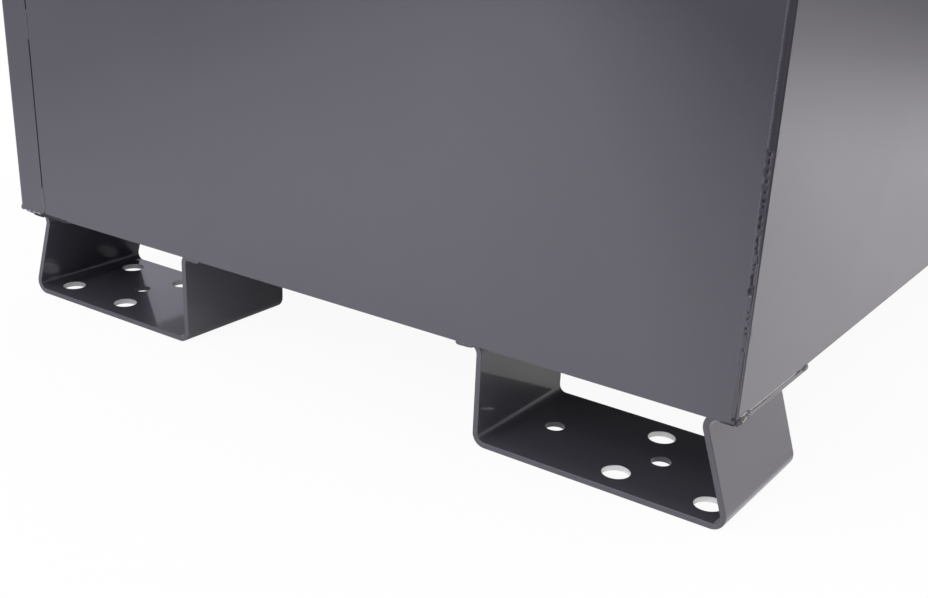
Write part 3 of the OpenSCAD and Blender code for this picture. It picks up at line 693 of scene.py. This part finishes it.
# Zinc-plated steel: electroplated and clear passivated.
# The eye sees a soft pale metal with faint cloudy patches and fine draw marks.
def zinc_plated_steel():
    patch_size, scratch, scratch_depth = 14 * MM, 0.8 * MM, 0.02 * MM
    material, tree, place = new_material("zinc_plated_steel")
    patch = pattern(tree, place, patch_size, 4.0)
    tone = add(tree, "ShaderNodeMix", {0: patch, 6: linear("#a4a6a6"), 7: linear("#c6c8c4")},
               data_type="RGBA")
    dull = spread(tree, patch, 0.3, 0.7, 0.26, 0.42)
    marks = raised(tree, pattern(tree, place, scratch, 3.0), scratch_depth)
    finish_material(tree, {"Base Color": tone.outputs[2], "Metallic": 1.0, "Roughness": dull,
                           "Normal": marks})
    return material


zinc = zinc_plated_steel()


def arc(centre, radius, start, end, steps):
    """Points of an arc in Y and Z"""
    return [Vector((centre[0] + radius * math.cos(a), centre[1] + radius * math.sin(a)))
            for a in (math.radians(start + (end - start) * k / steps) for k in range(steps + 1))]


for side, s in (("left", -1), ("right", 1)):
    pivot_x = s * pivot_across
    half_path = [Vector((0, -rod_drop)), Vector((grip_half, -rod_drop))]
    half_path += [Vector((leg_place - grip_bend - rod_radius, -rod_drop))]
    half_path += arc((leg_place - grip_bend, grip_bend - rod_drop), grip_bend, -90, 0, 10)
    half_path += [Vector((leg_place, leg_middle))]
    half_path += arc((leg_place + stub_bend, -stub_bend), stub_bend, 180, 90, 8)
    half_path += [Vector((y, 0)) for y in (stub_start, stub_end - 1, stub_end - 0.2, stub_end)]
    radii = [rod_radius] * (len(half_path) - 2) + [rod_radius - 0.5, rod_radius - 1.6]
    path = [Vector((-p.x, p.y)) for p in half_path[:0:-1]] + half_path
    radii = radii[:0:-1] + radii
    rings = []
    for i, (p, radius) in enumerate(zip(path, radii)):
        way = (path[min(i + 1, len(path) - 1)] - path[max(i - 1, 0)]).normalized()
        normal = Vector((-way.y, way.x))
        ring = []
        for a in circle(rod_sides):
            y, z = p + normal * radius * math.cos(a)
            ring.append(Vector((pivot_x + radius * math.sin(a), y, pivot_height + z)) * MM)
        rings.append(ring)
    mesh = bmesh.new()
    skin(mesh, rings)
    collar_start = leg_place + ear_gap + ear_thickness + collar_gap
    for t in (-1, 1):
        skin(mesh, [[Vector((pivot_x + radius * math.sin(a), t * (collar_start + y),
                             pivot_height + radius * math.cos(a))) * MM
                     for a in circle(rod_sides)] for y, radius in collar_shape])
    piece = mesh_piece(f"handle_{side}_rod", mesh, f"handle_{side}", "zinc", zinc)
    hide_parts(f"handle_{side}")

# Hinge
# A continuous hinge of 2 mm leaves, rolled round a zinc-plated pin.
# The lower leaf is stitched to a flat bar, which is stitched to the back panel, and the upper one to the lid.
leaf_edge, bead_width, bead_height, leaf_stitch, leaf_stitches = 0.35 * MM, 3, 1.3, 22, 9
for name in ("hinge_bar", "hinge_lower_leaf", "hinge_upper_leaf"):
    finish_node(name, coat, leaf_edge)
finish_node("hinge_pin", zinc)
low, high = (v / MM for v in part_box("hinge_bar"))
start, stop, leaf_back, bar_foot = low.x + 30, high.x - 30, high.y + 0.2, low.y + 0.3
mesh = bmesh.new()
stitches(mesh, (low.x + 10, bar_foot, low.z), (high.x - 10, bar_foot, low.z), (0, 1, -1), 5, 2.2, 30, count=8)
leaf_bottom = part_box("hinge_lower_leaf")[0].z / MM
stitches(mesh, (start, leaf_back, leaf_bottom), (stop, leaf_back, leaf_bottom), (0, 1, -1),
         bead_width, bead_height, leaf_stitch, leaf_stitches)
mesh_piece("hinge_bar_welds", mesh, "box", "powder_coat", coated_weld)
mesh = bmesh.new()
leaf_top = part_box("hinge_upper_leaf")[1].z / MM
stitches(mesh, (start, leaf_back, leaf_top), (stop, leaf_back, leaf_top), (0, 1, 1),
         bead_width, bead_height, leaf_stitch, leaf_stitches)
mesh_piece("hinge_leaf_welds", mesh, "lid", "powder_coat", coated_weld)

# Lid
# A folded 2 mm sheet with welded end caps, coated like the box. Two hat sections are spot-welded under it.
# The two tongues that drop behind the lock plates are welded on.
for name in ("lid_panel", "lid_left_cap", "lid_right_cap", "lid_stiffener_left", "lid_stiffener_right",
             "lock_tongue_left", "lock_tongue_right"):
    finish_node(name, coat, coat_edge)

# Marks of spot welds under the stiffeners' flanges: radius and depth of each ring
spot_shape = ((1.6, 0.1), (2.7, 0.3), (3.3, 0.34), (4.0, 0.2), (4.6, -0.2))
spot_tip, spot_pitch, spot_sides, spot_inset, first_spot, last_spot, flange_sheet = 0.06, 52, 16, 8, 20, 12, 2
mesh = bmesh.new()
for side in ("left", "right"):
    low, high = (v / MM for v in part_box(f"lid_stiffener_{side}"))
    flange_face = high.z - flange_sheet
    for x in (low.x + spot_inset, high.x - spot_inset):
        y = low.y + first_spot
        while y < high.y - last_spot:
            middle = Vector((x, y, flange_face))
            rows = [[mesh.verts.new((middle + Vector((r * math.cos(a), r * math.sin(a), -drop))) * MM)
                     for a in circle(spot_sides)] for r, drop in spot_shape]
            tip = mesh.verts.new((middle - Vector((0, 0, spot_tip))) * MM)
            for k in range(spot_sides):
                j = (k + 1) % spot_sides
                mesh.faces.new((tip, rows[0][k], rows[0][j]))
                for row, after in zip(rows, rows[1:]):
                    mesh.faces.new((row[k], after[k], after[j], row[j]))
            mesh.faces.new(rows[-1])
            y += spot_pitch
mesh_piece("lid_spot_welds", mesh, "lid", "powder_coat", coat)

bead_width, bead_height, stitch, cap_inset, cap_joint = 4, 2, 30, 20, 3.2
mesh = bmesh.new()
for side, s in (("left", -1), ("right", 1)):
    low, high = (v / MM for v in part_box(f"lock_tongue_{side}"))
    for y, way in ((low.y, -1), (high.y, 1)):
        weld_run(mesh, (low.x + 3, y, high.z - 1.0), (high.x - 3, y, high.z - 1.0), (0, way, -1),
                 bead_width, bead_height)
    low, high = (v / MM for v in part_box(f"lid_{side}_cap"))
    inner, joint = (low.x if s > 0 else high.x), high.z - cap_joint
    stitches(mesh, (inner, low.y + cap_inset, joint), (inner, high.y - cap_inset, joint), (-s, 0, -1),
             bead_width, bead_height, stitch, count=6)
mesh_piece("lid_welds", mesh, "lid", "powder_coat", coated_weld)

# Gas springs
# Each spring is a black-enamelled pressure tube with a hard-chromed rod that slides in it.
# Its eyes turn on the studs of two zinc-plated brackets, one on the end panel and one on the lid.
tube_edge, rod_edge, bracket_edge = 0.4 * MM, 0.3 * MM, 0.4 * MM

# Black stoving enamel: a smooth glossy film over drawn tube.
# The eye sees deep black with a sharp highlight along the tube.
black_enamel = powder_coated_steel("black_stoving_enamel", "#1b1b1d", 0.25, 0.08, 0.6, 0.008 * MM, 0.0)


# Hard chrome: ground and polished round the rod.
# The eye sees a mirror with hair-fine rings.
def hard_chrome():
    ring_size, ring_depth = 1.2 * MM, 0.004 * MM
    material, tree, place = new_material("hard_chrome")
    finish_material(tree, {
        "Base Color": linear("#d9dadc"), "Metallic": 1.0, "Roughness": 0.09,
        "Normal": raised(tree, pattern(tree, place, ring_size, 2.0), ring_depth)})
    return material


chrome = hard_chrome()
for side in ("left", "right"):
    finish_node(f"spring_tube_{side}", black_enamel, tube_edge)
    finish_node(f"spring_rod_{side}", chrome, rod_edge)
    finish_node(f"spring_lower_bracket_{side}", zinc, bracket_edge)
    finish_node(f"spring_upper_bracket_{side}", zinc, bracket_edge)

# Studio
# White sweep paper under the part, in a bright room with three softboxes. The camera sees it white, with the
# part's soft shadow. Every other ray sees its light and dark sides, which the glossy coat reflects.
floor_reach, floor_shade, first_bounce = 30, 0.06, 1.5
# Where each fade of the paper starts and ends along its direction, and the share that it leaves at the start
paper_fades = (((1.0, 1.5, 0.0), -2.0, -1.15, 0.0), ((-1.0, -1.6, 0.0), -0.8, 0.66, 0.4),
               ((-1.0, 0.0, 0.0), -1.8, -0.4, 0.62))
# The painted glow under the box: where it ends along X and Y, and its strength from the front to the middle
under_edges, under_front = (("X", 0.58, 0.62), ("Y", 0.36, 0.4)), (-0.22, -0.12, 0.42, 0.1)
# Where each fade of the room starts and ends along its direction, and the share that it leaves at the end
room_fades, room_light = (((0.0, -1.0, 0.0), 0.0, 0.8, 0.37), ((0.76, 0.65, 0.0), 0.6, 0.9, 0.7)), 0.95
white = linear("#ffffff")


def along(tree, place, axis):
    """Distance along an axis"""
    return add(tree, "ShaderNodeVectorMath", {0: place, 1: axis}, operation="DOT_PRODUCT").outputs["Value"]


def product(tree, *factors):
    """Numbers and node outputs, multiplied"""
    result = factors[0]
    for factor in factors[1:]:
        result = add(tree, "ShaderNodeMath", {0: result, 1: factor}, operation="MULTIPLY").outputs[0]
    return result


def mixed(tree, share, first, second):
    """Two shaders, with a share of the second"""
    return add(tree, "ShaderNodeMixShader", {0: share, 1: first.outputs[0], 2: second.outputs[0]})


material, tree, ground = new_material("studio_floor")
path_kind = add(tree, "ShaderNodeLightPath", {}).outputs
shade = product(tree, *[spread(tree, along(tree, ground, axis), start, end, dark, 1.0)
                        for axis, start, end, dark in paper_fades])
glow = add(tree, "ShaderNodeEmission", {"Color": white, "Strength": 1.0})
matte = add(tree, "ShaderNodeBsdfDiffuse", {"Color": white})
paper = add(tree, "ShaderNodeBsdfDiffuse", {"Color": shade})
# a weak painted glow on the paper under the box, which only the first reflection shows
away = add(tree, "ShaderNodeVectorMath", {0: ground}, operation="ABSOLUTE").outputs[0]
away = add(tree, "ShaderNodeSeparateXYZ", {0: away}).outputs
edges = [spread(tree, away[axis], inside, outside, 1.0, 0.0) for axis, inside, outside in under_edges]
first = add(tree, "ShaderNodeMath", {0: path_kind["Ray Depth"], 1: first_bounce}, operation="LESS_THAN")
depth = add(tree, "ShaderNodeSeparateXYZ", {0: ground}).outputs["Y"]
under = product(tree, path_kind["Is Glossy Ray"], *edges, first.outputs[0], spread(tree, depth, *under_front))
painted_glow = add(tree, "ShaderNodeEmission", {"Color": white, "Strength": under})
paper = add(tree, "ShaderNodeAddShader", {0: paper.outputs[0], 1: painted_glow.outputs[0]})
both = mixed(tree, path_kind["Is Camera Ray"], paper, mixed(tree, floor_shade, glow, matte))
add(tree, "ShaderNodeOutputMaterial", {"Surface": both.outputs[0]})
bpy.ops.mesh.primitive_plane_add(size=2 * floor_reach, location=(0, 0, 0))
floor = bpy.context.object
floor.name = "studio_floor"
floor.data.materials.append(material)

world = bpy.data.worlds.new("studio")
bpy.context.scene.world = world
world.use_nodes = True
tree = world.node_tree
tree.nodes.clear()
path_kind = add(tree, "ShaderNodeLightPath", {}).outputs
way = add(tree, "ShaderNodeTexCoord", {}).outputs["Generated"]
strength = product(tree, room_light, *[spread(tree, along(tree, way, axis), start, end, 1.0, dark)
                                       for axis, start, end, dark in room_fades])
fill = add(tree, "ShaderNodeBackground", {"Color": linear("#efeefd"), "Strength": strength})
plain = add(tree, "ShaderNodeBackground", {"Color": white, "Strength": 1.0})
both = mixed(tree, path_kind["Is Camera Ray"], fill, plain)
add(tree, "ShaderNodeOutputWorld", {"Surface": both.outputs[0]})


def softbox(name, place, aim, size, power, colour):
    lamp = bpy.data.lights.new(name, "AREA")
    lamp.shape, lamp.size, lamp.size_y, lamp.energy = "RECTANGLE", size[0], size[1], power
    lamp.color = linear(colour)[:3]
    piece = bpy.data.objects.new(name, lamp)
    piece.location = place
    piece.rotation_euler = (Vector(aim) - Vector(place)).to_track_quat("-Z", "Y").to_euler()
    bpy.context.scene.collection.objects.link(piece)


softbox("key_softbox", (0.0, -3.4, 1.1), (0, -0.4, 0.35), (2.4, 1.4), 37, "#fdf2d8")
softbox("side_softbox", (-3.0, 0.4, 2.2), (-0.7, 0, 0.1), (2.0, 1.6), 24, "#ffffff")
softbox("top_softbox", (0, 0, 3.6), (0, 0, 0), (3.0, 3.0), 40, "#ffffff")
